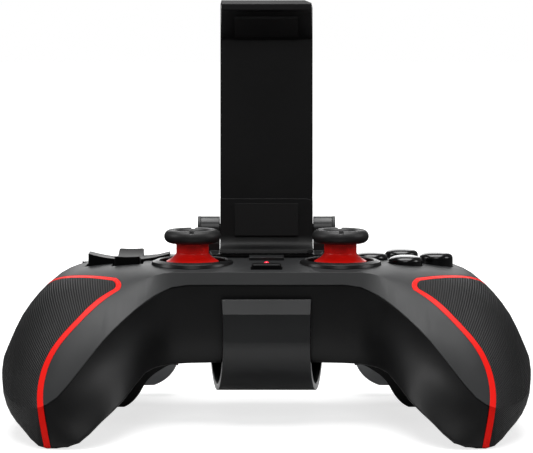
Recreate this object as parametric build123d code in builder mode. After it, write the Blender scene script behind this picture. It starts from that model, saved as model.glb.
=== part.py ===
from build123d import *
from math import cos, radians, sin, tan
import os

os.makedirs("parts", exist_ok=True)

# Mobile game controller with a clip-on phone clamp, in millimetres.
# X runs to the player's right, Y away from the player and Z up.
# The origin is on the surface that the controller rests on, in the middle of its box.

# Driving dimensions of the body
half_width = 80.4        # half of the span over the grips
grip_reach = 60.0        # from the line of the sticks to the tips of the grips
deck_height = 48.0       # from the resting surface to the flat of the deck
stick_line = 7.9         # how far the line of the sticks lies behind the origin
wall = 2.2               # moulded wall of the housings
seam_gap = 0.15          # shadow line between the two housings
seam_step = 0.8          # how far the front wall lies behind the upper housing's edge
pad_wall = 1.5           # thickness of the moulded grip pads
trim_width = 1.9         # width of the coloured strip beside a pad
fit_gap = 0.05           # gap between pieces that are pressed or glued in
run_gap = 0.25           # gap around pieces that slide or turn
overrun = 2.0            # how far cutters pass beyond what they cut

# Driving dimensions of the controls
stick_pitch = 46.4       # between the two sticks
stick_well = 21.0        # bore of the ring round a stick
stick_pivot_depth = 7.0  # pivot of a stick below the deck
stick_tilt = 15.0        # degrees from upright
cluster_pitch = 88.0     # between the directional pad and the group of four buttons
cluster_back = 16.5      # middle of these groups behind the line of the sticks
pad_span = 26.0          # over the arms of the directional pad
pad_arm = 8.0            # width of an arm
face_button = 10.7       # diameter of a round button
face_spacing = 10.5      # from the middle of the group to a button
button_rise = 1.9        # top of the round buttons above the middle of the deck
button_travel = 1.2      # how far a button goes down
flange_rim = 0.8         # ledge that holds a button in, beyond its cap
flange_height = 1.0

# Driving dimensions of the clip and the phone clamp
clip_wall = 2.0          # strap of the clip
saddle_wall = 0.9        # thin front part of the clip on the deck
clamp_width = 30.1       # slider and lower jaw
clamp_lean = 6.0         # degrees back from upright
hinge_back = 33.0        # hinge axis behind the line of the sticks
hinge_rise = 7.7         # hinge axis above the deck
hinge_diameter = 8.4
hinge_length = 45.0      # over the end caps of the pin
pin_diameter = 3.4
jaw_top_rise = 75.4      # top of the upper jaw above the hinge axis, along the slider
slider_travel = 22.0     # how far the upper jaw pulls out

sides = (("left", -1), ("right", 1))


def at_deck(y, z):
    """Turn a place behind the stick line and above the deck into one in the part's frame."""
    return (stick_line + y, deck_height + z)


# Body stations: half sections of the controller, from the middle to the side.
# Each row has its place as a share of half the width, then nine corners. A corner is
# a share of the grip reach behind the sticks and a share of the deck height below the deck.
# The corners are: rear end of the flat deck, front end of the flat deck, front crease,
# seam, lowest front point, rear end of the underside, foot of the rear wall, seam on the
# rear wall, and head of the rear wall.
station_shares = (
    (0.0, (.425, 0), (0, 0), (-.275, .023), (-.305, .10), (-.24, .615),
     (.35, .60), (.458, .458), (.458, .27), (.458, .04)),
    (0.30, (.425, 0), (0, 0), (-.275, .023), (-.305, .10), (-.24, .615),
     (.35, .60), (.458, .458), (.458, .27), (.458, .04)),
    (0.39, (.475, .004), (0, .002), (-.285, .027), (-.342, .133), (-.30, .62),
     (.38, .595), (.52, .458), (.52, .27), (.52, .04)),
    (0.456, (.53, .012), (0, .008), (-.32, .060), (-.43, .188), (-.50, .63),
     (.40, .58), (.565, .45), (.565, .27), (.565, .05)),
    (0.525, (.535, .024), (0, .016), (-.39, .117), (-.57, .27), (-.758, .75),
     (.39, .575), (.57, .44), (.57, .27), (.57, .06)),
    (0.60, (.53, .034), (0, .026), (-.49, .20), (-.733, .38), (-.90, .854),
     (.37, .565), (.565, .43), (.565, .27), (.565, .07)),
    (0.675, (.51, .046), (0, .040), (-.658, .344), (-.867, .531), (-.967, .963),
     (.33, .545), (.545, .42), (.545, .27), (.545, .08)),
    (0.756, (.45, .066), (.033, .060), (-.833, .563), (-.967, .688), (-.958, .997),
     (.25, .545), (.49, .41), (.49, .27), (.49, .105)),
    (0.825, (.35, .112), (.05, .100), (-.833, .604), (-.958, .75), (-.925, .990),
     (.15, .565), (.40, .44), (.40, .30), (.40, .155)),
    (0.8875, (.215, .204), (0, .192), (-.767, .625), (-.875, .76), (-.817, .917),
     (.04, .625), (.27, .50), (.27, .375), (.27, .26)),
    (0.944, (.067, .333), (-.083, .319), (-.65, .625), (-.75, .74), (-.692, .844),
     (-.083, .688), (.117, .573), (.117, .469), (.117, .385)),
    (0.981, (-.10, .469), (-.183, .458), (-.517, .625), (-.60, .698), (-.55, .76),
     (-.20, .688), (-.067, .604), (-.067, .542), (-.067, .50)),
    (1.0, (-.25, .552), (-.283, .548), (-.383, .594), (-.417, .625), (-.383, .646),
     (-.30, .635), (-.242, .604), (-.242, .583), (-.242, .567)),
)
crease_pull_share = 0.55   # how far the flat of the deck runs on before it turns down
tip_round_share = 0.30     # how round the lowest front edge is at the grips
keel_round_share = 0.10    # and at the middle
underside_share = 0.30     # how far the underside runs level at its two ends


def body_stations(inset):
    """Give a smooth run of sections through the stations, drawn in on all sides by an inset.

    Each section has its share along X, its place along X and its nine corners. Halfway
    between two stations stands one more section, on a cubic curve through its neighbours.
    """
    rows = []
    for index, row in enumerate(station_shares):
        rows.append(row)
        if 0 < index < len(station_shares) - 1:
            before, after = station_shares[index - 1], station_shares[index + 1]
            further = station_shares[min(index + 2, len(station_shares) - 1)]
            rows.append((halfway(before[0], row[0], after[0], further[0]),) + tuple(
                tuple(halfway(*axis) for axis in zip(*corner))
                for corner in zip(before[1:], row[1:], after[1:], further[1:])))
    stations = []
    for x_share, *corner_shares in rows:
        corners = [at_deck(y * grip_reach, -drop * deck_height) for y, drop in corner_shares]
        depths = [y for y, z in corners]
        heights = [z for y, z in corners]
        mid_y = (max(depths) + min(depths)) / 2
        mid_z = (max(heights) + min(heights)) / 2
        shrink_y = 1 - inset / (max(depths) - mid_y)
        shrink_z = 1 - inset / (max(heights) - mid_z)
        moved = [(mid_y + (y - mid_y) * shrink_y, mid_z + (z - mid_z) * shrink_z) for y, z in corners]
        stations.append((x_share, x_share * (half_width - inset), moved))
    return stations


def halfway(before, near, far, after):
    """Give the value halfway from near to far, on a curve that also heeds their neighbours."""
    return (near + far) / 2 + ((near - before) - (after - far)) / 16


def draw_deck(corners):
    """Draw the flat of the deck, its turn down to the crease and the band below it."""
    deck_rear, deck_front, crease, seam = corners[:4]
    pull = (deck_front[0] + crease_pull_share * (crease[0] - deck_front[0]), deck_front[1])
    Line(deck_rear, deck_front)
    Bezier(deck_front, pull, crease)
    Line(crease, seam)


def draw_keel(x_share, seam, corners):
    """Draw the front wall, the underside and the foot of the rear wall, below a seam."""
    low_front, low_rear, rear_foot = corners[4:7]
    tall = seam[1] - low_front[1]
    round_share = keel_round_share + (tip_round_share - keel_round_share) * x_share
    level = underside_share * (low_rear[0] - low_front[0])
    Bezier(seam, (seam[0], seam[1] - tall / 2), (low_front[0] - round_share * tall, low_front[1]), low_front)
    Bezier(low_front, (low_front[0] + level, low_front[1]), (low_rear[0] - level, low_rear[1]), low_rear)
    Bezier(low_rear, (rear_foot[0], low_rear[1]), rear_foot)


def upper_half():
    """Loft the upper housing from the middle to the right side."""
    with BuildPart() as half:
        for x_share, x, corners in body_stations(0):
            rear_seam, rear_head = corners[7:]
            with BuildSketch(Plane.YZ.offset(x)):
                with BuildLine():
                    draw_deck(corners)
                    Line(corners[3], rear_seam)
                    Line(rear_seam, rear_head)
                    Bezier(rear_head, (rear_head[0], corners[0][1]), corners[0])
                make_face()
        loft(ruled=True)
    return half.part


def lower_half():
    """Loft the lower housing, whose front wall is stepped in behind the upper edge."""
    with BuildPart() as half:
        for x_share, x, corners in body_stations(0):
            step = seam_gap + seam_step * (1 - x_share)
            seam = (corners[3][0] + step, corners[3][1] - seam_gap)
            rear_seam = (corners[7][0], corners[7][1] - seam_gap)
            with BuildSketch(Plane.YZ.offset(x)):
                with BuildLine():
                    draw_keel(x_share, seam, corners)
                    Line(corners[6], rear_seam)
                    Line(rear_seam, seam)
                make_face()
        loft(ruled=True)
    return half.part


def whole_half(inset):
    """Loft the whole body from the middle to the right side, made smaller by an inset."""
    with BuildPart() as half:
        for x_share, x, corners in body_stations(inset):
            rear_head = corners[8]
            with BuildSketch(Plane.YZ.offset(x)):
                with BuildLine():
                    draw_deck(corners)
                    draw_keel(x_share, corners[3], corners)
                    Line(corners[6], rear_head)
                    Bezier(rear_head, (rear_head[0], corners[0][1]), corners[0])
                make_face()
        loft(ruled=True)
    return half.part


# Places that several pieces share
deck_under = deck_height - wall                 # underside of the deck
board_top = deck_height - 13.0                  # top of the circuit board
board_thick = 1.6
floor_top = deck_height * (1 - station_shares[0][5][1]) + wall   # floor inside the middle
shoulder_floor = deck_height - 22.0             # floor inside the shoulders
shoulder_roof = deck_height - 4.4               # and their roof
cavity_half = 32.0                              # hollow in the middle, to each side
cavity_front = stick_line - 14.2
cavity_rear = stick_line + 24.5
shoulder_half = 59.5                            # and out to the shoulders
shoulder_front = stick_line - 1.2
shoulder_rear = stick_line + 31.4
shoulder_slant = 8.0                            # cut off their rear outer corners
post_x = 9.0                                    # screw posts at the front of the hollow
post_y = stick_line - 10.0
post_radius = 3.0
post_joint = deck_height - 10.0                 # where the two halves of a post meet
grip_screw_x = 60.0                             # screws in the grips
grip_screw_y = stick_line - 24.0
grip_screw_seat = deck_height - 32.0            # seat of their heads
grip_screw_end = deck_height - 19.0
screw_radius = 1.1
screw_head_radius = 2.4
screw_head_height = 1.6
post_screw_seat = floor_top - 0.6
post_screw_end = deck_height - 4.0
stick_x = stick_pitch / 2
cluster_x = cluster_pitch / 2
cluster_y = stick_line + cluster_back
well_socket = stick_well / 2 + 1.0              # radius of the hole that a ring sits in
cap_gap = 0.3                                   # gap between a button and its hole
pad_gap = 1.0                                   # gap round the directional pad, which tilts
home_width = 9.2
home_depth = 4.6
home_y = stick_line - 10.5
led_y = stick_line - 1.2
led_radius = 0.8
oblong_x = 23.2                                 # the two small buttons behind the sticks
oblong_y = stick_line + 17.5
oblong_length = 6.0
oblong_width = 3.2
usb_width = 9.0
usb_height = 3.3
usb_rise = board_top + 0.2 + usb_height / 2     # middle of the socket
usb_x = -23.5                                   # beside the clip
usb_depth = 7.0
usb_shell = 0.4
usb_face = stick_line + station_shares[0][8][0] * grip_reach   # flush with the rear wall
tongue_width_share = .62
tongue_height_share = .25
pillar_x = 39.0                                 # pillars under the circuit board
pillar_y = stick_line + 26.0
pillar_radius = 2.5
board_front = stick_line - 6.5
board_tongue = 5.6                              # half of the tongue between the posts
board_tip = stick_line - 12.7
board_waist = cavity_half - run_gap
battery_y = stick_line + 9.0
battery_width = 30.0
battery_length = 24.0
battery_thick = 9.0
battery_round = 2.0
stick_pivot = deck_height - stick_pivot_depth
module_span = 16.0                              # square housing of a stick's mechanism
module_hole = 14.6
module_top = deck_height - 5.0
module_floor = 1.0
frame_span = 14.0                               # square frame that slides down in it
frame_hole = 11.0
frame_height = 3.4
yoke_span = 10.0                                # square ring that tilts in the frame
yoke_hole = 7.2
yoke_height = 3.0
trunnion_span = 6.4                             # block of the stick that tilts in the yoke
trunnion_height = 2.6
pivot_radius = 0.8
pivot_length = 1.4                              # how far a pivot reaches beyond its block
stem_radius = 2.0
skirt_radius = 8.2                              # foot of the coloured cone
skirt_low = deck_height - 0.3
skirt_high = deck_height + 0.7
neck_radius = 5.1
neck_low = deck_height + 3.2
cap_seat = deck_height + 7.0
rim_radius = 2.1                                # rolled rim of a stick's cap
cap_radius = 8.9
cap_dish = deck_height + 8.6                    # middle of the cap's top
rim_height = deck_height + 8.5                  # middle of the rolled rim
notch_width = 1.3
notch_depth = 0.8
ring_rise = 1.2                                 # ring round the well, above the deck
ring_lip = 0.6
ring_foot = 13.2                                # outer radius where it meets the deck
ring_sink = 1.2                                 # how far its foot reaches below the flat deck
flange_top = shoulder_roof - run_gap
press_gap = 0.1                                 # left under a button at full travel
sheet_thick = 1.0                               # rubber sheets under the buttons
sheet_span = 28.0                               # over the arms of a sheet
sheet_arm = 9.0
dome_radius = 3.0
dome_height = 1.4
plunger_radius = 2.4
plunger_foot = board_top + sheet_thick + dome_height + button_travel + press_gap
cap_crown = 1.0                                 # how far a button's top is domed
small_travel = 0.6                              # travel of the small buttons
small_rise = 0.8
home_rise = 1.0
small_plunger = 1.2
dish_radius = 45.0                              # hollow of the directional pad
dish_low = deck_height - 0.4
pad_top = deck_height + 1.8
pad_pivot_height = deck_height - 7.6            # pivot of the directional pad
pad_flange_top = shoulder_roof - 1.4
pad_ledge = 1.6                                 # ledge that holds the pad in
hub_radius = 3.2
pivot_disc_height = 2.0
trigger_pivot_y = stick_line + 37.4
trigger_pivot_z = deck_height - 15.6
trigger_hub = 2.5
trigger_pin_radius = 1.2
lug_inner = 43.4            # lug of the housing between the two lugs of a trigger
lug_outer = 46.6
hub_inner = 36.0
hub_outer = 54.0
lug_root = shoulder_rear + run_gap
lug_rise = trigger_pivot_z + trigger_hub - run_gap
bumper_tab_length = 7.0
lip_taper = 0.6                                 # the clip's lip thins towards its edge
corner_inset = 1.2
pad_edge_round = 0.9                            # upright edges of the directional pad
dome_taper = 20.0                               # degrees that a rubber dome leans in
small_chamfer = 0.4
bumper_tab_x = 34.0                             # guide of a bumper through the rear wall
bumper_tab_width = 6.0
bumper_tab_height = 4.0
bumper_tab_rise = deck_height - 9.0

# Outline of the grip pads, seen along a line that looks down on them from the front.
# Each point is a share of half the width, and of the deck height below the deck's edge.
pad_view_angle = 40.0    # degrees that this line comes down
pad_edge_shares = (
    (.578, -.385), (.625, -.465), (.6975, -.644), (.799, -.93), (.8325, -1.206), (.805, -1.52), (.79, -1.62))
pad_head_shares = ((.86, -.105), (.587, -.281))
pad_corner_share = .03   # rounding of the corner, as a share of half the width
pad_rear_head = 2.0      # rear end of a pad behind the sticks, at the deck
pad_rear_foot = -4.0     # and at the underside


def widened(points, margin):
    """Move each point of an outline by a margin, square to the line through its neighbours."""
    moved = []
    for index, (x, y) in enumerate(points):
        before = points[max(index - 1, 0)]
        after = points[min(index + 1, len(points) - 1)]
        run, rise = after[0] - before[0], after[1] - before[1]
        reach = margin / (run ** 2 + rise ** 2) ** .5
        moved.append((x + reach * rise, y - reach * run))
    return moved


def pad_region(margin):
    """Draw the outline of a right pad, widened inwards by a margin, and cut along the view."""
    view = Plane(origin=(0, stick_line, deck_height), x_dir=(1, 0, 0),
                 z_dir=(0, -cos(radians(pad_view_angle)), sin(radians(pad_view_angle))))
    outline = [(x * half_width, v * deck_height) for x, v in pad_head_shares + pad_edge_shares]
    outline = widened(outline, margin)
    head, edge = outline[:2], outline[2:]
    far_x = half_width + overrun
    with BuildPart() as region:
        with BuildSketch(view):
            with BuildLine():
                Line((far_x, edge[-1][1]), (far_x, head[0][1]))
                Line((far_x, head[0][1]), head[0])
                Line(head[0], head[1])
                Bezier(head[1], (edge[0][0] - pad_corner_share * half_width / 2, (head[1][1] + edge[0][1]) / 2),
                       edge[0])
                Spline(*edge)
                Line(edge[-1], (far_x, edge[-1][1]))
            make_face()
        extrude(amount=grip_reach * 1.5, both=True)
        # The pad ends on a slanted line at the side of the grip
        with BuildSketch(Plane.YZ):
            with BuildLine():
                Polyline(at_deck(-grip_reach - wall, overrun), at_deck(-grip_reach - wall, -deck_height - overrun),
                         at_deck(pad_rear_foot, -deck_height - overrun), at_deck(pad_rear_head, overrun),
                         close=True)
            make_face()
        extrude(amount=half_width + overrun, mode=Mode.INTERSECT)
    return region.part


grip_core = whole_half(pad_wall)
pad_solid = (whole_half(0) & pad_region(0)) - grip_core
strip_solid = (whole_half(0) & (pad_region(trim_width) - pad_region(fit_gap))) - grip_core
pad_recess = pad_region(trim_width + fit_gap) - whole_half(pad_wall + fit_gap)

# Pads of ridged rubber over the outer half of each grip, and the strip along their edge
for side, sign in sides:
    with BuildPart() as grip_pad:
        add(pad_solid if sign > 0 else mirror(pad_solid, about=Plane.YZ, mode=Mode.PRIVATE))
    grip_pad.part.label = f"{side}_grip_pad"
    export_step(grip_pad.part, f"parts/{side}_grip_pad.step")

    with BuildPart() as trim_strip:
        add(strip_solid if sign > 0 else mirror(strip_solid, about=Plane.YZ, mode=Mode.PRIVATE))
    trim_strip.part.label = f"{side}_trim_strip"
    export_step(trim_strip.part, f"parts/{side}_trim_strip.step")

# Hollow that holds the works, with flat walls, cut from both housings
with BuildPart() as hollow:
    with BuildSketch(Plane.XY.offset(floor_top)):
        with Locations((0, (cavity_front + cavity_rear) / 2)):
            Rectangle(2 * cavity_half, cavity_rear - cavity_front)
    extrude(amount=deck_under - floor_top)
    with BuildSketch(Plane.XY.offset(shoulder_floor)):
        with BuildLine():
            Polyline((0, shoulder_front), (shoulder_half, shoulder_front),
                     (shoulder_half, shoulder_rear - shoulder_slant),
                     (shoulder_half - shoulder_slant, shoulder_rear), (cavity_half, shoulder_rear),
                     (cavity_half, cavity_rear), (0, cavity_rear))
            mirror(about=Plane.YZ)
        make_face()
    extrude(amount=shoulder_roof - shoulder_floor)

with BuildPart() as upper_housing:
    add(upper_half())
    mirror(about=Plane.YZ)
    add(hollow.part, mode=Mode.SUBTRACT)
    add(pad_recess, mode=Mode.SUBTRACT)
    add(mirror(pad_recess, about=Plane.YZ, mode=Mode.PRIVATE), mode=Mode.SUBTRACT)
    # Posts that the front screws pull together
    with BuildSketch(Plane.XY.offset(post_joint + fit_gap)):
        with Locations((-post_x, post_y), (post_x, post_y)):
            Circle(post_radius)
    extrude(amount=deck_under - post_joint)
    # Openings for the sticks and every button, through the deck
    with BuildSketch(Plane.XY.offset(shoulder_roof - overrun)):
        with Locations((-stick_x, stick_line), (stick_x, stick_line)):
            Circle(well_socket)
        with Locations((cluster_x, cluster_y)):
            with PolarLocations(face_spacing, 4):
                Circle(face_button / 2 + cap_gap)
        with Locations((-cluster_x, cluster_y)):
            Rectangle(pad_span + 2 * pad_gap, pad_arm + 2 * pad_gap)
            Rectangle(pad_arm + 2 * pad_gap, pad_span + 2 * pad_gap)
        with Locations((0, home_y)):
            Rectangle(home_width + 2 * cap_gap, home_depth + 2 * cap_gap)
        with Locations((0, led_y)):
            Circle(led_radius + fit_gap)
        with Locations((-oblong_x, oblong_y), (oblong_x, oblong_y)):
            SlotOverall(oblong_length + 2 * cap_gap, oblong_width + 2 * cap_gap)
    extrude(amount=deck_height - shoulder_roof + 2 * overrun, mode=Mode.SUBTRACT)
    # Pilot holes of the screws
    with BuildSketch(Plane.XY.offset(post_joint - overrun)):
        with Locations((-post_x, post_y), (post_x, post_y)):
            Circle(screw_radius + fit_gap)
    extrude(amount=post_screw_end - post_joint + overrun + fit_gap, mode=Mode.SUBTRACT)
    with BuildSketch(Plane.XY.offset(grip_screw_end + fit_gap)):
        with Locations((-grip_screw_x, grip_screw_y), (grip_screw_x, grip_screw_y)):
            Circle(screw_radius + fit_gap)
    extrude(amount=grip_screw_seat - grip_screw_end, mode=Mode.SUBTRACT)
    # Slots for the bumpers' guides and the charging socket in the rear wall
    with BuildSketch(Plane.XZ.offset(-cavity_rear + overrun)):
        with Locations((-bumper_tab_x, bumper_tab_rise), (bumper_tab_x, bumper_tab_rise)):
            Rectangle(bumper_tab_width + 2 * run_gap, bumper_tab_height + 2 * run_gap)
        with Locations((usb_x, usb_rise)):
            SlotOverall(usb_width + 2 * fit_gap, usb_height + 2 * fit_gap)
    extrude(amount=-grip_reach / 2, mode=Mode.SUBTRACT)
    # Room for the ledges of the round buttons
    with BuildSketch(Plane.XY.offset(shoulder_roof)):
        with Locations((cluster_x, cluster_y)):
            with PolarLocations(face_spacing, 4):
                Circle(face_button / 2 + flange_rim + cap_gap)
    extrude(amount=-flange_height - button_travel - 2 * run_gap, mode=Mode.SUBTRACT)
upper_housing.part.label = "upper_housing"
export_step(upper_housing.part, "parts/upper_housing.step")

with BuildPart() as lower_housing:
    add(lower_half())
    mirror(about=Plane.YZ)
    add(hollow.part, mode=Mode.SUBTRACT)
    add(pad_recess, mode=Mode.SUBTRACT)
    add(mirror(pad_recess, about=Plane.YZ, mode=Mode.PRIVATE), mode=Mode.SUBTRACT)
    # Screw posts at the front, and pillars that carry the circuit board
    with BuildSketch(Plane.XY.offset(floor_top - overrun / 2)):
        with Locations((-post_x, post_y), (post_x, post_y)):
            Circle(post_radius)
    extrude(amount=post_joint - floor_top + overrun / 2)
    with BuildSketch(Plane.XY.offset(shoulder_floor - overrun / 2)):
        with Locations((-pillar_x, pillar_y), (pillar_x, pillar_y)):
            Circle(pillar_radius)
    extrude(amount=board_top - board_thick - fit_gap - shoulder_floor + overrun / 2)
    # Screws from below: recess of the head, then the shank
    for x, y, seat, top in ((post_x, post_y, post_screw_seat, post_joint),
                            (grip_screw_x, grip_screw_y, grip_screw_seat, grip_screw_end)):
        with BuildSketch(Plane.XY.offset(seat)):
            with Locations((-x, y), (x, y)):
                Circle(screw_head_radius + run_gap)
        extrude(amount=-deck_height, mode=Mode.SUBTRACT)
        with BuildSketch(Plane.XY.offset(seat - overrun)):
            with Locations((-x, y), (x, y)):
                Circle(screw_radius + fit_gap)
        extrude(amount=top - seat + 2 * overrun, mode=Mode.SUBTRACT)
    # Lugs on the rear wall that carry the triggers' pins
    for sign in (-1, 1):
        with BuildSketch(Plane.YZ.offset(sign * lug_inner)):
            with BuildLine():
                Polyline((lug_root, lug_rise), (lug_root, trigger_pivot_z - trigger_hub),
                         (trigger_pivot_y, trigger_pivot_z - trigger_hub), (trigger_pivot_y, lug_rise), close=True)
            make_face()
            with Locations((trigger_pivot_y, trigger_pivot_z)):
                Circle(trigger_hub)
        extrude(amount=sign * (lug_outer - lug_inner))
        with BuildSketch(Plane.YZ.offset(sign * lug_inner)):
            with Locations((trigger_pivot_y, trigger_pivot_z)):
                Circle(trigger_pin_radius + fit_gap)
        extrude(amount=sign * (lug_outer - lug_inner), mode=Mode.SUBTRACT)
    # Room for the charging socket above the rear wall
    with BuildSketch(Plane.XZ.offset(-cavity_rear + overrun)):
        with Locations((usb_x, usb_rise)):
            SlotOverall(usb_width + 2 * fit_gap, usb_height + 2 * fit_gap)
    extrude(amount=-grip_reach / 2, mode=Mode.SUBTRACT)
lower_housing.part.label = "lower_housing"
export_step(lower_housing.part, "parts/lower_housing.step")

with BuildPart() as housing_screws:
    for x, y, seat, top in ((post_x, post_y, post_screw_seat, post_screw_end),
                            (grip_screw_x, grip_screw_y, grip_screw_seat, grip_screw_end)):
        with BuildSketch(Plane.XY.offset(seat - fit_gap)):
            with Locations((-x, y), (x, y)):
                Circle(screw_head_radius)
        extrude(amount=-screw_head_height)
        with BuildSketch(Plane.XY.offset(seat - fit_gap)):
            with Locations((-x, y), (x, y)):
                Circle(screw_radius)
        extrude(amount=top - seat)
housing_screws.part.label = "housing_screws"
export_step(housing_screws.part, "parts/housing_screws.step")

# Circuit board, with a step for the screw posts and the width of the hollow
with BuildPart() as main_board:
    with BuildSketch(Plane.XY.offset(board_top)):
        with BuildLine():
            Polyline((0, board_tip), (board_tongue, board_tip), (board_tongue, board_front),
                     (board_waist, board_front), (board_waist, shoulder_front + run_gap),
                     (shoulder_half - run_gap, shoulder_front + run_gap),
                     (shoulder_half - run_gap, shoulder_rear - shoulder_slant - run_gap),
                     (shoulder_half - shoulder_slant - run_gap, shoulder_rear - run_gap),
                     (cavity_half + run_gap, shoulder_rear - run_gap), (cavity_half + run_gap, cavity_rear - run_gap),
                     (0, cavity_rear - run_gap))
            mirror(about=Plane.YZ)
        make_face()
    extrude(amount=-board_thick)
main_board.part.label = "main_board"
export_step(main_board.part, "parts/main_board.step")

with BuildPart() as battery:
    with BuildSketch(Plane.XY.offset(floor_top + fit_gap)):
        with Locations((0, battery_y)):
            RectangleRounded(battery_width, battery_length, battery_round)
    extrude(amount=battery_thick)
battery.part.label = "battery"
export_step(battery.part, "parts/battery.step")

with BuildPart() as usb_socket:
    with BuildSketch(Plane.XZ.offset(-(usb_face - usb_depth))):
        with Locations((usb_x, usb_rise)):
            SlotOverall(usb_width, usb_height)
    extrude(amount=-usb_depth)
    with BuildSketch(Plane.XZ.offset(-usb_face)):
        with Locations((usb_x, usb_rise)):
            SlotOverall(usb_width - 2 * usb_shell, usb_height - 2 * usb_shell)
    extrude(amount=usb_depth - usb_shell, mode=Mode.SUBTRACT)
    with BuildSketch(Plane.XZ.offset(-(usb_face - usb_depth))):
        with Locations((usb_x, usb_rise)):
            Rectangle(usb_width * tongue_width_share, usb_height * tongue_height_share)
    extrude(amount=-(usb_depth - usb_shell))
usb_socket.part.label = "usb_socket"
export_step(usb_socket.part, "parts/usb_socket.step")

# Sticks, from the ring round the well down to the gimbal under the deck
for side, sign in sides:
    x = sign * stick_x
    with BuildPart() as stick_ring:
        with BuildSketch(Plane.XZ.offset(-stick_line)):
            with BuildLine():
                Polyline((stick_well / 2, deck_under + run_gap), (well_socket - fit_gap, deck_under + run_gap),
                         (well_socket - fit_gap, deck_height - ring_sink), (ring_foot, deck_height - ring_sink),
                         (ring_foot - ring_lip, deck_height + ring_lip),
                         (stick_well / 2 + ring_lip, deck_height + ring_rise),
                         (stick_well / 2, deck_height + ring_rise - ring_lip / 2), close=True)
            make_face()
        revolve(axis=Axis((0, stick_line, 0), (0, 0, 1)))
    fitted = stick_ring.part.moved(Location((x, 0, 0))) - upper_housing.part
    # The cut can leave a crumb where the ring meets the deck, so the ring alone is kept
    placed_ring = fitted.solids().sort_by(SortBy.VOLUME)[-1]
    placed_ring.label = f"{side}_stick_ring"
    export_step(placed_ring, f"parts/{side}_stick_ring.step")

    with BuildPart() as stick_module:
        with BuildSketch(Plane.XY.offset(board_top + fit_gap)):
            with Locations((x, stick_line)):
                Rectangle(module_span, module_span)
        extrude(amount=module_top - board_top - fit_gap)
        with BuildSketch(Plane.XY.offset(board_top + module_floor)):
            with Locations((x, stick_line)):
                Rectangle(module_hole, module_hole)
        extrude(amount=module_top - board_top, mode=Mode.SUBTRACT)
    stick_module.part.label = f"{side}_stick_module"
    export_step(stick_module.part, f"parts/{side}_stick_module.step")

    with BuildPart() as gimbal_frame:
        with BuildSketch(Plane.XY.offset(stick_pivot - frame_height / 2)):
            with Locations((x, stick_line)):
                Rectangle(frame_span, frame_span)
                Rectangle(frame_hole, frame_hole, mode=Mode.SUBTRACT)
        extrude(amount=frame_height)
        with BuildSketch(Plane.YZ.offset(x)):
            with Locations((stick_line, stick_pivot)):
                Circle(pivot_radius + fit_gap)
        extrude(amount=yoke_span / 2 + pivot_length + fit_gap, both=True, mode=Mode.SUBTRACT)
    gimbal_frame.part.label = f"{side}_gimbal_frame"
    export_step(gimbal_frame.part, f"parts/{side}_gimbal_frame.step")

    with BuildPart() as gimbal_yoke:
        with BuildSketch(Plane.XY.offset(stick_pivot - yoke_height / 2)):
            with Locations((x, stick_line)):
                Rectangle(yoke_span, yoke_span)
        extrude(amount=yoke_height)
        with BuildSketch(Plane.YZ.offset(x)):
            with Locations((stick_line, stick_pivot)):
                Circle(pivot_radius)
        extrude(amount=yoke_span / 2 + pivot_length, both=True)
        with BuildSketch(Plane.XY.offset(stick_pivot - yoke_height)):
            with Locations((x, stick_line)):
                Rectangle(yoke_hole, yoke_hole)
        extrude(amount=2 * yoke_height, mode=Mode.SUBTRACT)
        with BuildSketch(Plane.XZ.offset(-stick_line)):
            with Locations((x, stick_pivot)):
                Circle(pivot_radius + fit_gap)
        extrude(amount=trunnion_span / 2 + pivot_length + fit_gap, both=True, mode=Mode.SUBTRACT)
    gimbal_yoke.part.label = f"{side}_gimbal_yoke"
    export_step(gimbal_yoke.part, f"parts/{side}_gimbal_yoke.step")

    with BuildPart() as stick_stem:
        with BuildSketch(Plane.XY.offset(stick_pivot - trunnion_height / 2)):
            with Locations((x, stick_line)):
                Rectangle(trunnion_span, trunnion_span)
        extrude(amount=trunnion_height)
        with BuildSketch(Plane.XZ.offset(-stick_line)):
            with Locations((x, stick_pivot)):
                Circle(pivot_radius)
        extrude(amount=trunnion_span / 2 + pivot_length, both=True)
        with BuildSketch(Plane.XZ.offset(-stick_line)):
            with BuildLine():
                Polyline((x, stick_pivot), (x + stem_radius, stick_pivot), (x + stem_radius, skirt_low - stem_radius),
                         (x + skirt_radius, skirt_low), (x + skirt_radius, skirt_high))
                Bezier((x + skirt_radius, skirt_high), (x + neck_radius + stem_radius / 2, skirt_high + stem_radius / 2),
                       (x + neck_radius, neck_low))
                Polyline((x + neck_radius, neck_low), (x + neck_radius, cap_seat - fit_gap),
                         (x, cap_seat - fit_gap), (x, stick_pivot))
            make_face()
        revolve(axis=Axis((x, stick_line, 0), (0, 0, 1)))
    stick_stem.part.label = f"{side}_stick_stem"
    export_step(stick_stem.part, f"parts/{side}_stick_stem.step")

    with BuildPart() as stick_cap:
        with BuildSketch(Plane.XZ.offset(-stick_line)):
            with Locations((x + (cap_radius - rim_radius) / 2, (cap_seat + cap_dish) / 2)):
                Rectangle(cap_radius - rim_radius, cap_dish - cap_seat)
            with Locations((x + cap_radius - rim_radius, rim_height)):
                Circle(rim_radius)
        revolve(axis=Axis((x, stick_line, 0), (0, 0, 1)))
        # Four finger notches in the rolled rim
        with BuildSketch(Plane.XY.offset(rim_height + rim_radius - notch_depth)):
            with Locations((x, stick_line)):
                with PolarLocations(cap_radius - rim_radius / 2, 4):
                    Rectangle(2 * rim_radius, notch_width)
        extrude(amount=rim_radius, mode=Mode.SUBTRACT)
    stick_cap.part.label = f"{side}_stick_cap"
    export_step(stick_cap.part, f"parts/{side}_stick_cap.step")

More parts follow.
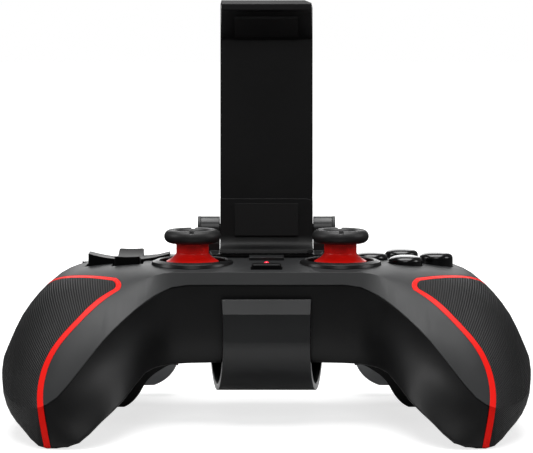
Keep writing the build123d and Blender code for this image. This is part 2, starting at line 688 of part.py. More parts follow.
# Directional pad: a cross that is hollow towards its middle, on a rocking disc
with BuildPart() as dpad:
    with BuildSketch(Plane.XY.offset(pad_flange_top - flange_height)):
        with Locations((-cluster_x, cluster_y)):
            Rectangle(pad_span, pad_arm)
            Rectangle(pad_arm, pad_span)
    extrude(amount=pad_top - pad_flange_top + flange_height)
    fillet(dpad.edges().filter_by(Axis.Z), radius=pad_edge_round)
    with BuildSketch(Plane.XY.offset(pad_flange_top - flange_height)):
        with Locations((-cluster_x, cluster_y)):
            Rectangle(pad_span + 2 * pad_ledge, pad_arm + 2 * pad_ledge)
            Rectangle(pad_arm + 2 * pad_ledge, pad_span + 2 * pad_ledge)
    extrude(amount=flange_height)
    with Locations((-cluster_x, cluster_y, dish_low + dish_radius)):
        Sphere(dish_radius, mode=Mode.SUBTRACT)
dpad.part.label = "dpad"
export_step(dpad.part, "parts/dpad.step")

with BuildPart() as dpad_pivot:
    with BuildSketch(Plane.XY.offset(pad_pivot_height - pivot_disc_height)):
        with Locations((-cluster_x, cluster_y)):
            Circle(hub_radius)
    extrude(amount=pivot_disc_height)
dpad_pivot.part.label = "dpad_pivot"
export_step(dpad_pivot.part, "parts/dpad_pivot.step")

with BuildPart() as dpad_membrane:
    with BuildSketch(Plane.XY.offset(board_top + fit_gap)):
        with Locations((-cluster_x, cluster_y)):
            Rectangle(sheet_span, sheet_arm)
            Rectangle(sheet_arm, sheet_span)
    extrude(amount=sheet_thick)
    with BuildSketch(Plane.XY.offset(board_top + sheet_thick)):
        with Locations((-cluster_x, cluster_y)):
            with PolarLocations(pad_span / 2 - dome_radius, 4):
                Circle(dome_radius)
    extrude(amount=dome_height, taper=dome_taper)
    # Post in the middle that the rocking disc stands on
    with BuildSketch(Plane.XY.offset(board_top + sheet_thick)):
        with Locations((-cluster_x, cluster_y)):
            Circle(hub_radius / 2)
    extrude(amount=pad_pivot_height - pivot_disc_height - run_gap - board_top - sheet_thick)
dpad_membrane.part.label = "dpad_membrane"
export_step(dpad_membrane.part, "parts/dpad_membrane.step")

# Four round buttons: crowned cap, ledge under the deck and plunger down to the rubber sheet
for name, turn in (("button_near", 270), ("button_outer", 0), ("button_far", 90), ("button_inner", 180)):
    x = cluster_x + face_spacing * cos(radians(turn))
    y = cluster_y + face_spacing * sin(radians(turn))
    with BuildPart() as button:
        with BuildSketch(Plane.XZ.offset(-y)):
            with BuildLine():
                Polyline((x, plunger_foot), (x + plunger_radius, plunger_foot),
                         (x + plunger_radius, flange_top - flange_height),
                         (x + face_button / 2 + flange_rim, flange_top - flange_height),
                         (x + face_button / 2 + flange_rim, flange_top), (x + face_button / 2, flange_top),
                         (x + face_button / 2, deck_height + button_rise - 2 * cap_crown))
                Bezier((x + face_button / 2, deck_height + button_rise - 2 * cap_crown),
                       (x + face_button / 2, deck_height + button_rise),
                       (x, deck_height + button_rise))
                Line((x, deck_height + button_rise), (x, plunger_foot))
            make_face()
        revolve(axis=Axis((x, y, 0), (0, 0, 1)))
    button.part.label = name
    export_step(button.part, f"parts/{name}.step")

with BuildPart() as button_membrane:
    with BuildSketch(Plane.XY.offset(board_top + fit_gap)):
        with Locations((cluster_x, cluster_y)):
            Rectangle(sheet_span, sheet_arm)
            Rectangle(sheet_arm, sheet_span)
    extrude(amount=sheet_thick)
    with BuildSketch(Plane.XY.offset(board_top + sheet_thick)):
        with Locations((cluster_x, cluster_y)):
            with PolarLocations(face_spacing, 4):
                Circle(dome_radius)
    extrude(amount=dome_height, taper=dome_taper)
button_membrane.part.label = "button_membrane"
export_step(button_membrane.part, "parts/button_membrane.step")

# Small buttons in the middle and behind the sticks, and the signal lamp
with BuildPart() as home_button:
    with BuildSketch(Plane.XY.offset(deck_under - run_gap - flange_height)):
        with Locations((0, home_y)):
            RectangleRounded(home_width + 2 * flange_rim, home_depth + 2 * flange_rim, flange_rim)
    extrude(amount=flange_height)
    with BuildSketch(Plane.XY.offset(deck_under - run_gap)):
        with Locations((0, home_y)):
            RectangleRounded(home_width, home_depth, flange_rim)
    extrude(amount=deck_height + home_rise - deck_under + run_gap)
    chamfer(home_button.faces().sort_by(Axis.Z)[-1].edges(), length=small_chamfer)
    with BuildSketch(Plane.XY.offset(board_top + small_travel + press_gap)):
        with Locations((0, home_y)):
            Circle(small_plunger)
    extrude(amount=deck_under - run_gap - board_top - small_travel - flange_height / 2)
home_button.part.label = "home_button"
export_step(home_button.part, "parts/home_button.step")

for name, sign in (("select_button", -1), ("start_button", 1)):
    with BuildPart() as oblong_button:
        with BuildSketch(Plane.XY.offset(deck_under - run_gap - flange_height)):
            with Locations((sign * oblong_x, oblong_y)):
                SlotOverall(oblong_length + 2 * flange_rim, oblong_width + 2 * flange_rim)
        extrude(amount=flange_height)
        with BuildSketch(Plane.XY.offset(deck_under - run_gap)):
            with Locations((sign * oblong_x, oblong_y)):
                SlotOverall(oblong_length, oblong_width)
        extrude(amount=deck_height + small_rise - deck_under + run_gap)
        fillet(oblong_button.faces().sort_by(Axis.Z)[-1].edges(), radius=small_chamfer)
        with BuildSketch(Plane.XY.offset(board_top + small_travel + press_gap)):
            with Locations((sign * oblong_x, oblong_y)):
                Circle(small_plunger)
        extrude(amount=deck_under - run_gap - board_top - small_travel - flange_height / 2)
    oblong_button.part.label = name
    export_step(oblong_button.part, f"parts/{name}.step")

with BuildPart() as signal_lamp:
    with BuildSketch(Plane.XY.offset(deck_under - led_radius)):
        with Locations((0, led_y)):
            Circle(led_radius)
    extrude(amount=wall + led_radius + fit_gap)
signal_lamp.part.label = "signal_lamp"
export_step(signal_lamp.part, "parts/signal_lamp.step")

# Shoulders: the fins behind the grips, the bumpers and the triggers with their pins
fin_shares = ((.353, .72), (.375, .712), (.42, .745), (.455, .785), (.483, .835), (.50, .885),
              (.525, .945), (.57, 1.0), (.65, 1.0), (.70, .88))
fin_front = stick_line + 13.0
fin_rear = stick_line + 21.0
bumper_low = deck_height - 12.5
bumper_high = deck_height - 3.0
bumper_travel = 1.0
bumper_plan = ((30.5, 33.2), (36.0, 35.6), (52.0, 35.6), (60.0, 32.0), (60.6, 34.5), (57.0, 39.0),
               (48.0, 41.5), (38.0, 41.0), (30.5, 37.0))
trigger_inner = 29.5
trigger_outer = 58.0
trigger_side = ((38.6, -15.0), (39.6, -24.0), (38.2, -33.0), (34.2, -41.0), (33.2, -44.2),
                (36.5, -44.8), (41.2, -38.0), (43.6, -27.0), (42.6, -14.6), (38.0, -13.2))
trigger_front = ((29.5, -12.8), (29.5, -37.0), (31.5, -40.6), (36.1, -43.8), (42.0, -45.0),
                 (50.0, -43.5), (56.0, -36.0), (58.0, -26.0), (57.0, -12.8))

for side, sign in sides:
    with BuildPart() as shoulder_fin:
        with BuildSketch(Plane.XZ.offset(-fin_front)):
            with BuildLine():
                points = [(x * half_width, deck_height * (1 - drop)) for x, drop in fin_shares]
                Spline(*points[:-2])
                Line(points[-3], points[-2])
                Line(points[-2], points[-1])
                Polyline(points[-1], (points[-1][0], shoulder_floor), (points[0][0], shoulder_floor), points[0])
            make_face()
        extrude(amount=-(fin_rear - fin_front))
        add(whole_half(0), mode=Mode.SUBTRACT)
    fin = shoulder_fin.part if sign > 0 else mirror(shoulder_fin.part, about=Plane.YZ)
    fin.label = f"{side}_shoulder_fin"
    export_step(fin, f"parts/{side}_shoulder_fin.step")

    with BuildPart() as bumper:
        with BuildSketch(Plane.XY.offset(bumper_low)):
            with BuildLine():
                plan = [(sign * x, stick_line + y) for x, y in bumper_plan]
                Polyline(*plan[:4])
                Spline(*plan[3:])
                Line(plan[-1], plan[0])
            make_face()
        extrude(amount=bumper_high - bumper_low)
        # Guide that runs through the rear wall
        with BuildSketch(Plane.XZ.offset(-(stick_line + bumper_plan[1][1] + bumper_travel))):
            with Locations((sign * bumper_tab_x, bumper_tab_rise)):
                Rectangle(bumper_tab_width, bumper_tab_height)
        extrude(amount=bumper_tab_length)
    bumper.part.label = f"{side}_bumper"
    export_step(bumper.part, f"parts/{side}_bumper.step")

    with BuildPart() as trigger:
        with BuildSketch(Plane.YZ.offset(sign * (trigger_inner - overrun))):
            with BuildLine():
                profile = [at_deck(y, z) for y, z in trigger_side]
                Spline(*profile[:5])
                Line(profile[4], profile[5])
                Spline(*profile[5:9])
                Polyline(profile[8], profile[9], profile[0])
            make_face()
        extrude(amount=sign * (trigger_outer - trigger_inner + 2 * overrun))
        with BuildSketch(Plane.XZ.offset(-(stick_line + hinge_back + grip_reach / 2))):
            with BuildLine():
                front = [(sign * x, deck_height + z) for x, z in trigger_front]
                Spline(*front[1:8])
                Polyline(front[7], front[8], front[0], front[1])
            make_face()
        extrude(amount=grip_reach, mode=Mode.INTERSECT)
        with BuildSketch(Plane.YZ.offset(sign * hub_inner)):
            with Locations((trigger_pivot_y, trigger_pivot_z)):
                Circle(trigger_hub)
        extrude(amount=sign * (hub_outer - hub_inner))
        with BuildSketch(Plane.YZ.offset(sign * (lug_inner - run_gap))):
            with Locations((trigger_pivot_y, trigger_pivot_z)):
                Circle(trigger_hub + run_gap)
        extrude(amount=sign * (lug_outer - lug_inner + 2 * run_gap), mode=Mode.SUBTRACT)
        with BuildSketch(Plane.YZ.offset(sign * (hub_inner - overrun))):
            with Locations((trigger_pivot_y, trigger_pivot_z)):
                Circle(trigger_pin_radius + fit_gap)
        extrude(amount=sign * (hub_outer - hub_inner + 2 * overrun), mode=Mode.SUBTRACT)
    trigger.part.label = f"{side}_trigger"
    export_step(trigger.part, f"parts/{side}_trigger.step")

    with BuildPart() as trigger_pin:
        with BuildSketch(Plane.YZ.offset(sign * hub_inner)):
            with Locations((trigger_pivot_y, trigger_pivot_z)):
                Circle(trigger_pin_radius)
        extrude(amount=sign * (hub_outer - hub_inner))
    trigger_pin.part.label = f"{side}_trigger_pin"
    export_step(trigger_pin.part, f"parts/{side}_trigger_pin.step")

# Clip: a strap that wraps the middle of the body, with knuckles for the hinge
clip_front = stick_line - 22.0
clip_rear = stick_line + 29.8
clip_spring = deck_height * (1 - .458)  # where the round of the strap begins
clip_drop = deck_height * .385          # height of that round, outside
clip_front_half = 13.3                  # half width of the strap at its front and its rear
clip_rear_half = 18.9
saddle_low = deck_height + 0.1
saddle_tongue = stick_line + 7.5
saddle_sides = stick_line + 13.5
saddle_tongue_half = 5.5
lip_bend = deck_height - 13.4
lip_top = deck_height - 9.2
lip_reach = 2.7                         # how far the lip leans in
shoulder_rise = 3.3                     # top of the strap's raised rear corners
knuckle_gap = 0.3
hinge_y = stick_line + hinge_back
hinge_z = deck_height + hinge_rise
cap_length = 1.0                        # heads of the hinge pin
clip_middle = (clip_front + clip_rear) / 2
clip_radius = (clip_rear - clip_front) / 2

with BuildPart() as clip_body:
    with BuildSketch(Plane.YZ):
        with BuildLine():
            Line((clip_front, lip_bend), (clip_front, clip_spring))
            EllipticalCenterArc((clip_middle, clip_spring), clip_radius, clip_drop, start_angle=180, arc_size=180)
            Polyline((clip_rear, clip_spring), (clip_rear, saddle_low + saddle_wall),
                     (saddle_tongue, saddle_low + saddle_wall), (saddle_tongue, saddle_low),
                     (clip_rear - clip_wall, saddle_low), (clip_rear - clip_wall, clip_spring))
            EllipticalCenterArc((clip_middle, clip_spring), clip_radius - clip_wall, clip_drop - clip_wall,
                                start_angle=180, arc_size=180)
            Polyline((clip_front + clip_wall, clip_spring), (clip_front + clip_wall, lip_bend),
                     (clip_front + clip_wall + lip_reach - lip_taper, lip_top),
                     (clip_front + lip_reach, lip_top), (clip_front, lip_bend))
        make_face()
    extrude(amount=clip_rear_half, both=True)
    with BuildSketch(Plane.XY):
        with BuildLine():
            Polyline((clip_front_half, clip_front - fit_gap), (clip_rear_half, clip_rear + fit_gap),
                     (-clip_rear_half, clip_rear + fit_gap), (-clip_front_half, clip_front - fit_gap),
                     close=True)
        make_face()
    extrude(amount=2 * deck_height, mode=Mode.INTERSECT)
    # The saddle reaches forward only in the middle
    with BuildSketch(Plane.XY.offset(saddle_low - overrun / 2)):
        with Locations((-clip_rear_half - saddle_tongue_half, saddle_sides - overrun),
                       (clip_rear_half + saddle_tongue_half, saddle_sides - overrun)):
            Rectangle(2 * clip_rear_half, 2 * overrun + 2 * (saddle_sides - saddle_tongue - overrun),
                      align=(Align.CENTER, Align.CENTER))
    extrude(amount=saddle_wall + overrun, mode=Mode.SUBTRACT)
    # Raised rear corners that carry the knuckles
    for sign in (-1, 1):
        with BuildSketch(Plane.YZ.offset(sign * (clamp_width / 2 + knuckle_gap))):
            with BuildLine():
                Polyline((clip_rear - clip_wall, saddle_low), (clip_rear - clip_wall, deck_height + shoulder_rise),
                         (hinge_y - hinge_diameter / 2, hinge_z), (hinge_y, hinge_z),
                         (hinge_y + clip_wall, hinge_z - hinge_diameter / 2 + corner_inset),
                         (clip_rear, saddle_low - 2 * clip_wall), (clip_rear - clip_wall, saddle_low - 2 * clip_wall),
                         close=True)
            make_face()
        extrude(amount=sign * (clip_rear_half - clamp_width / 2 - knuckle_gap))
        with BuildSketch(Plane.YZ.offset(sign * (clamp_width / 2 + knuckle_gap))):
            with Locations((hinge_y, hinge_z)):
                Circle(hinge_diameter / 2)
        extrude(amount=sign * ((hinge_length - clamp_width) / 2 - knuckle_gap - cap_length - fit_gap))
    with BuildSketch(Plane.YZ):
        with Locations((hinge_y, hinge_z)):
            Circle(pin_diameter / 2 + fit_gap)
    extrude(amount=hinge_length / 2, both=True, mode=Mode.SUBTRACT)
clip_body.part.label = "clip_body"
export_step(clip_body.part, "parts/clip_body.step")

with BuildPart() as hinge_pin:
    with BuildSketch(Plane.YZ):
        with Locations((hinge_y, hinge_z)):
            Circle(pin_diameter / 2)
    extrude(amount=hinge_length / 2, both=True)
    for sign in (-1, 1):
        with BuildSketch(Plane.YZ.offset(sign * (hinge_length / 2 - cap_length))):
            with Locations((hinge_y, hinge_z)):
                Circle(hinge_diameter / 2)
        extrude(amount=sign * cap_length)
hinge_pin.part.label = "hinge_pin"
export_step(hinge_pin.part, "parts/hinge_pin.step")

# Phone clamp: drawn in planes that lean back with it, with their origin on the hinge axis.
# In the side plane the first length runs back from the slider and the second runs up it.
lean = radians(clamp_lean)
clamp_side = Plane(origin=(0, hinge_y, hinge_z), x_dir=(0, cos(lean), -sin(lean)), z_dir=(1, 0, 0))
clamp_plan = Plane(origin=(0, hinge_y, hinge_z), x_dir=(1, 0, 0), z_dir=(0, sin(lean), cos(lean)))
clamp_front = Plane(origin=(0, hinge_y, hinge_z), x_dir=(1, 0, 0), z_dir=(0, -cos(lean), sin(lean)))
wall_front = -7.0          # front of the lower jaw's wall
wall_back = -5.0
wall_top = 9.8
wall_foot = -2.35
jaw_root = (-14.3, -6.8)   # lowest point of the lower jaw's hollow
jaw_lip = (-16.8, -6.9)
jaw_toe = (-17.2, -8.15)
jaw_heel = (-5.0, -7.0)
slot_floor = 4.5           # where the slider's slot begins
rail_front = -2.5
rail_back = -0.5
rail_half = 12.0
rail_top = 52.0
slider_front = -4.7
slider_back = -2.8
slider_top = 66.0
flange_inner = 13.2        # inner faces of the slider's two sides
flange_back = 1.0
hook_front = -0.2          # hooks of the slider behind the rail
hook_inner = 11.0
upper_root = (-15.6, 69.6)
upper_lip = (-17.0, 70.1)
upper_brow = (-17.0, 72.0)
upper_crown = (-15.5, jaw_top_rise - 2.0)
upper_heel = 61.8          # where the upper jaw's slope meets the slider
jaw_front_half = 14.4
jaw_corner = 2.2
jaw_corner_drop = 1.3
pad_thick = 0.8
jaw_pad_half = 10.3
clamp_half = clamp_width / 2

with BuildPart() as clamp_base:
    with BuildSketch(clamp_side):
        with BuildLine():
            Polyline((wall_front, wall_foot), (wall_front, wall_top), (wall_back, wall_top), (wall_back, slot_floor),
                     (0, slot_floor - run_gap), (0, -hinge_diameter / 2), jaw_heel, jaw_toe, jaw_lip, jaw_root)
            Bezier(jaw_root, (wall_front, jaw_root[1]), (wall_front, wall_foot))
        make_face()
        Circle(hinge_diameter / 2)
    extrude(amount=clamp_half, both=True)
    # Rail that the slider runs on
    with BuildSketch(clamp_side):
        with BuildLine():
            Polyline((rail_front, 0), (rail_front, rail_top), (rail_back, rail_top), (rail_back, 0), close=True)
        make_face()
    extrude(amount=rail_half, both=True)
    with BuildSketch(clamp_side):
        Circle(pin_diameter / 2 + fit_gap)
    extrude(amount=clamp_half, both=True, mode=Mode.SUBTRACT)
    # Slanted corners at the top of the wall and at the lip
    with BuildSketch(clamp_front.offset(-wall_front + overrun)):
        with BuildLine():
            Polyline((clamp_half - jaw_corner, wall_top + fit_gap), (clamp_half + fit_gap, wall_top - jaw_corner_drop / 2),
                     (clamp_half + fit_gap, wall_top + fit_gap), close=True)
            mirror(about=Plane.YZ)
        make_face()
    extrude(amount=-overrun - (wall_back - wall_front) - fit_gap, mode=Mode.SUBTRACT)
    with BuildSketch(clamp_plan.offset(jaw_toe[1] - overrun)):
        with BuildLine():
            Polyline((clamp_half - jaw_corner, jaw_toe[0] - fit_gap), (clamp_half + fit_gap, jaw_toe[0] + jaw_corner),
                     (clamp_half + fit_gap, jaw_toe[0] - fit_gap), close=True)
            mirror(about=Plane.YZ)
        make_face()
    extrude(amount=overrun + wall_foot - jaw_toe[1], mode=Mode.SUBTRACT)
clamp_base.part.label = "clamp_base"
export_step(clamp_base.part, "parts/clamp_base.step")

# Slider: a plate with two sides that hook behind the rail
with BuildPart() as slider:
    with BuildSketch(clamp_plan.offset(slot_floor + run_gap)):
        with BuildLine():
            Polyline((0, slider_front), (clamp_half, slider_front), (clamp_half, flange_back),
                     (hook_inner, flange_back), (hook_inner, hook_front), (flange_inner, hook_front),
                     (flange_inner, slider_back), (0, slider_back))
            mirror(about=Plane.YZ)
        make_face()
    extrude(amount=slider_top - slot_floor - run_gap)
slider.part.label = "slider"
export_step(slider.part, "parts/slider.step")

with BuildPart() as upper_jaw:
    with BuildSketch(clamp_side):
        with BuildLine():
            Polyline((flange_back, slider_top + fit_gap), (flange_back, upper_crown[1]), upper_crown, upper_brow,
                     upper_lip, upper_root, (slider_front - fit_gap, upper_heel),
                     (slider_front - fit_gap, slider_top + fit_gap), close=True)
        make_face()
    extrude(amount=clamp_half, both=True)
    with BuildSketch(clamp_plan.offset(upper_heel - overrun)):
        with BuildLine():
            Polyline((jaw_front_half, upper_brow[0] - fit_gap), (clamp_half, slider_front),
                     (clamp_half, flange_back + fit_gap), (-clamp_half, flange_back + fit_gap),
                     (-clamp_half, slider_front), (-jaw_front_half, upper_brow[0] - fit_gap), close=True)
        make_face()
    extrude(amount=jaw_top_rise - upper_heel + overrun, mode=Mode.INTERSECT)
    # Slanted corners at both ends of its top
    with BuildSketch(clamp_front.offset(-upper_brow[0] + overrun)):
        with BuildLine():
            Polyline((jaw_front_half - jaw_corner, upper_crown[1] + fit_gap),
                     (clamp_half + fit_gap, upper_crown[1] - jaw_corner_drop),
                     (clamp_half + fit_gap, upper_crown[1] + fit_gap), close=True)
            mirror(about=Plane.YZ)
        make_face()
    extrude(amount=-2 * overrun + upper_brow[0] - flange_back, mode=Mode.SUBTRACT)
upper_jaw.part.label = "upper_jaw"
export_step(upper_jaw.part, "parts/upper_jaw.step")

# Rubber pads on the inner faces of the jaws
slope_back = slider_front - 2.5 * pad_thick
slope_fall = (upper_root[1] - upper_heel) / (slider_front - upper_root[0])
slope_front = upper_root[0] + 2 * pad_thick
with BuildPart() as upper_jaw_pad:
    with BuildSketch(clamp_side):
        with BuildLine():
            high = upper_root[1] - slope_fall * (slope_front - upper_root[0]) - fit_gap
            low = upper_root[1] - slope_fall * (slope_back - upper_root[0]) - fit_gap
            Polyline((slope_front, high), (slope_back, low), (slope_back, low - pad_thick),
                     (slope_front, high - pad_thick), close=True)
        make_face()
    extrude(amount=jaw_pad_half, both=True)
upper_jaw_pad.part.label = "upper_jaw_pad"
export_step(upper_jaw_pad.part, "parts/upper_jaw_pad.step")

with BuildPart() as lower_jaw_pad:
    with BuildSketch(clamp_side):
        with BuildLine():
            Polyline((wall_front - fit_gap, wall_foot), (wall_front - fit_gap, wall_top - 2 * pad_thick),
                     (wall_front - pad_thick, wall_top - 2 * pad_thick), (wall_front - pad_thick, wall_foot),
                     close=True)
        make_face()
    extrude(amount=jaw_pad_half, both=True)
lower_jaw_pad.part.label = "lower_jaw_pad"
export_step(lower_jaw_pad.part, "parts/lower_jaw_pad.step")
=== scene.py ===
"""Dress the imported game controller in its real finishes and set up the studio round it."""

import logging
from dataclasses import dataclass, field
from enum import Enum
from math import cos, pi, radians, sin

import bmesh
import bpy
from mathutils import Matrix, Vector, kdtree

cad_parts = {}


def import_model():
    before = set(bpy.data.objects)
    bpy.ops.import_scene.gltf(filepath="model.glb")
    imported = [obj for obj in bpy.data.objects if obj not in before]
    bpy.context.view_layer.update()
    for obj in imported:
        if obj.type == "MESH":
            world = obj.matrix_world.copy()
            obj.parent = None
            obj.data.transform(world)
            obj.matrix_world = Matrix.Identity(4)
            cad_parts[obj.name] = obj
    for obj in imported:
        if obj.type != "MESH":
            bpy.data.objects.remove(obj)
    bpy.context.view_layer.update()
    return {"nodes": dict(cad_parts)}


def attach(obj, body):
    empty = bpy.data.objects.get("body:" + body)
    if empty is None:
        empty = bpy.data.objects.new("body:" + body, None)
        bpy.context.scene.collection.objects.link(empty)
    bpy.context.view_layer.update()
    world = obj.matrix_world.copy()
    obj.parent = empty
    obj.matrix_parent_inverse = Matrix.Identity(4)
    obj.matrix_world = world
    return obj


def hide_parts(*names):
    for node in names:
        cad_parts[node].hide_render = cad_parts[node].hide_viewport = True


log = logging.getLogger("controller")

MM = 0.001
FINGERTIP_MM = 14.0  # width of the marks that handling leaves
DULL_SPREAD = 0.08  # how far handling changes the roughness, as a share of it
MARK_SPREAD = 0.2  # the same for the marks of a lathe
BEVEL_SAMPLES = 6
Node = bpy.types.Node
Tree = bpy.types.NodeTree
Socket = bpy.types.NodeSocket


def from_hex(code: str) -> tuple[float, float, float, float]:
    """Turn an sRGB hex colour into the linear colour that a shader takes.

    Args:
        code: six hex digits after a hash sign.

    Returns:
        Linear red, green, blue and an alpha of one.
    """
    parts = [int(code[at:at + 2], 16) / 255 for at in (1, 3, 5)]
    linear = [c / 12.92 if c <= 0.04045 else ((c + 0.055) / 1.055) ** 2.4 for c in parts]
    return (linear[0], linear[1], linear[2], 1.0)


def add_node(tree: Tree, kind: str, inputs: dict | None = None, **settings: object) -> Node:
    """Add a shader node with its settings, plain values and links.

    Args:
        tree: the material's node tree.
        kind: the node's type.
        inputs: a value or a linked socket for each input, by name or number.
        settings: attributes of the node.

    Returns:
        The new node.
    """
    node = tree.nodes.new(kind)
    for name, value in settings.items():
        setattr(node, name, value)
    for name, value in (inputs or {}).items():
        if isinstance(value, bpy.types.NodeSocket):
            tree.links.new(value, node.inputs[name])
        else:
            node.inputs[name].default_value = value
    return node


class Ridges(Enum):
    """How the ridges of a moulded surface run."""

    NONE = "none"
    FAN_LEFT = "fan round the palm, left grip"
    FAN_RIGHT = "fan round the palm, right grip"


@dataclass(frozen=True)
class Moulding:
    """A moulded plastic or rubber with its grain, handling marks and softened edges."""

    name: str
    colour: str
    worn_colour: str
    roughness: float
    grain_mm: float = 0.5
    grain_depth_mm: float = 0.02
    edge_mm: float = 0.3
    coat: float = 0.0
    ior: float = 1.5
    specular: float = 0.5
    ridges: Ridges = Ridges.NONE
    ridge_mm: float = 0.7
    ridge_depth_mm: float = 0.12

    def build(self) -> bpy.types.Material:
        """Build the material.

        Returns:
            The node material.
        """
        material = bpy.data.materials.new(self.name)
        material.use_nodes = True
        tree = material.node_tree
        tree.nodes.clear()
        place = add_node(tree, "ShaderNodeTexCoord").outputs["Object"]
        # Slow changes of tone, from handling, over about a fingertip
        smudge = add_node(tree, "ShaderNodeTexNoise", {"Vector": place, "Scale": 1 / (FINGERTIP_MM * MM),
                                                       "Detail": 4.0})
        tone = add_node(tree, "ShaderNodeValToRGB", {"Fac": smudge.outputs["Fac"]})
        tone.color_ramp.elements[0].color = from_hex(self.colour)
        tone.color_ramp.elements[1].color = from_hex(self.worn_colour)
        # A noise texture seldom leaves the range from 0.3 to 0.7
        dull = add_node(tree, "ShaderNodeMapRange", {"Value": smudge.outputs["Fac"], "From Min": 0.3,
                                                     "From Max": 0.7, "To Min": self.roughness * (1 - DULL_SPREAD),
                                                     "To Max": self.roughness * (1 + DULL_SPREAD)})
        edge = add_node(tree, "ShaderNodeBevel", {"Radius": self.edge_mm * MM}, samples=BEVEL_SAMPLES)
        # Spark-eroded grain of the mould
        grain = add_node(tree, "ShaderNodeTexNoise", {"Vector": place, "Scale": 1 / (self.grain_mm * MM),
                                                      "Detail": 2.0})
        bump = add_node(tree, "ShaderNodeBump", {"Height": grain.outputs["Fac"], "Normal": edge.outputs["Normal"],
                                                 "Distance": self.grain_depth_mm * MM, "Strength": 1.0})
        normal = bump.outputs["Normal"]
        if self.ridges is not Ridges.NONE:
            normal = add_node(tree, "ShaderNodeBump", {"Height": self.ridge_height(tree, place), "Normal": normal,
                                                       "Distance": self.ridge_depth_mm * MM,
                                                       "Strength": 1.0}).outputs["Normal"]
        shader = add_node(tree, "ShaderNodeBsdfPrincipled", {
            "Base Color": tone.outputs["Color"], "Roughness": dull.outputs["Result"], "Normal": normal,
            "IOR": self.ior, "Specular IOR Level": self.specular, "Coat Weight": self.coat,
            "Coat Roughness": 0.08})
        out = add_node(tree, "ShaderNodeOutputMaterial", {"Surface": shader.outputs["BSDF"]})
        out.is_active_output = True
        return material

    def ridge_height(self, tree: Tree, place: Socket) -> Socket:
        """Give the height of the ridges over the surface.

        Args:
            tree: the material's node tree.
            place: the coordinates of the surface, in metres.

        Returns:
            A socket that runs from zero to one across a ridge.
        """
        # The ridges fan out round a point in the palm, so each meets the grip's edge square
        palm = Vector((34.0, 0.0, -12.0)) * MM
        reach_mm = 56.0  # from there to the middle of the pad, where the spacing is ridge_mm
        side = 1 if self.ridges is Ridges.FAN_RIGHT else -1
        parts = add_node(tree, "ShaderNodeSeparateXYZ", {"Vector": place})
        across = add_node(tree, "ShaderNodeMath", {0: parts.outputs["X"], 1: side, 2: -palm.x},
                          operation="MULTIPLY_ADD")
        up = add_node(tree, "ShaderNodeMath", {0: parts.outputs["Z"], 1: palm.z}, operation="SUBTRACT")
        turn = add_node(tree, "ShaderNodeMath", {0: up.outputs[0], 1: across.outputs[0]}, operation="ARCTAN2")
        phase = add_node(tree, "ShaderNodeMath", {0: turn.outputs[0], 1: 2 * pi * reach_mm / self.ridge_mm},
                         operation="MULTIPLY")
        wave = add_node(tree, "ShaderNodeMath", {0: phase.outputs[0]}, operation="SINE")
        return add_node(tree, "ShaderNodeMapRange", {"Value": wave.outputs[0], "From Min": -1.0}).outputs["Result"]


@dataclass(frozen=True)
class Turned:
    """A bright metal, turned or rolled, with fine marks along one way."""

    name: str
    colour: str
    roughness: float
    mark_mm: float = 0.2

    def build(self) -> bpy.types.Material:
        """Build the material.

        Returns:
            The node material.
        """
        material = bpy.data.materials.new(self.name)
        material.use_nodes = True
        tree = material.node_tree
        tree.nodes.clear()
        place = add_node(tree, "ShaderNodeTexCoord").outputs["Object"]
        drawn = add_node(tree, "ShaderNodeMapping", {"Vector": place, "Scale": (1.0, 0.1, 1.0)})
        marks = add_node(tree, "ShaderNodeTexNoise", {"Vector": drawn.outputs["Vector"],
                                                      "Scale": 1 / (self.mark_mm * MM), "Detail": 3.0})
        bump = add_node(tree, "ShaderNodeBump", {"Height": marks.outputs["Fac"], "Distance": 0.01 * MM})
        dull = add_node(tree, "ShaderNodeMapRange", {"Value": marks.outputs["Fac"],
                                                     "To Min": self.roughness * (1 - MARK_SPREAD),
                                                     "To Max": self.roughness * (1 + MARK_SPREAD)})
        shader = add_node(tree, "ShaderNodeBsdfPrincipled", {
            "Base Color": from_hex(self.colour), "Metallic": 1.0, "Roughness": dull.outputs["Result"],
            "Normal": bump.outputs["Normal"]})
        out = add_node(tree, "ShaderNodeOutputMaterial", {"Surface": shader.outputs["BSDF"]})
        out.is_active_output = True
        return material


@dataclass(frozen=True)
class Glow:
    """A small clear lens with a lamp behind it."""

    name: str
    colour: str
    strength: float

    def build(self) -> bpy.types.Material:
        """Build the material.

        Returns:
            The node material.
        """
        material = bpy.data.materials.new(self.name)
        material.use_nodes = True
        tree = material.node_tree
        tree.nodes.clear()
        place = add_node(tree, "ShaderNodeTexCoord").outputs["Object"]
        cloud = add_node(tree, "ShaderNodeTexNoise", {"Vector": place, "Scale": 1 / (0.4 * MM)})
        bump = add_node(tree, "ShaderNodeBump", {"Height": cloud.outputs["Fac"], "Distance": 0.02 * MM})
        shader = add_node(tree, "ShaderNodeBsdfPrincipled", {
            "Base Color": from_hex(self.colour), "Roughness": 0.2, "Emission Color": from_hex(self.colour),
            "Emission Strength": self.strength, "Normal": bump.outputs["Normal"]})
        out = add_node(tree, "ShaderNodeOutputMaterial", {"Surface": shader.outputs["BSDF"]})
        out.is_active_output = True
        return material


# Painted ABS of the upper housing: a soft satin grey that takes broad highlights
SATIN_GREY = Moulding("abs_satin_grey", "#1d1e1f", "#232425", 0.5, grain_mm=0.35, grain_depth_mm=0.006,
                      specular=0.3)
# Clip strap in the same ABS, a little glossier
CLIP_GREY = Moulding("abs_clip_grey", "#1b1c1d", "#202122", 0.3, grain_mm=0.4, grain_depth_mm=0.005,
                     specular=0.45)
# Moulded ABS of the lower shell: black, with a fine eroded grain
SHELL_BLACK = Moulding("abs_shell_black", "#070708", "#0b0b0c", 0.42, grain_mm=0.4, grain_depth_mm=0.008,
                       specular=0.32)
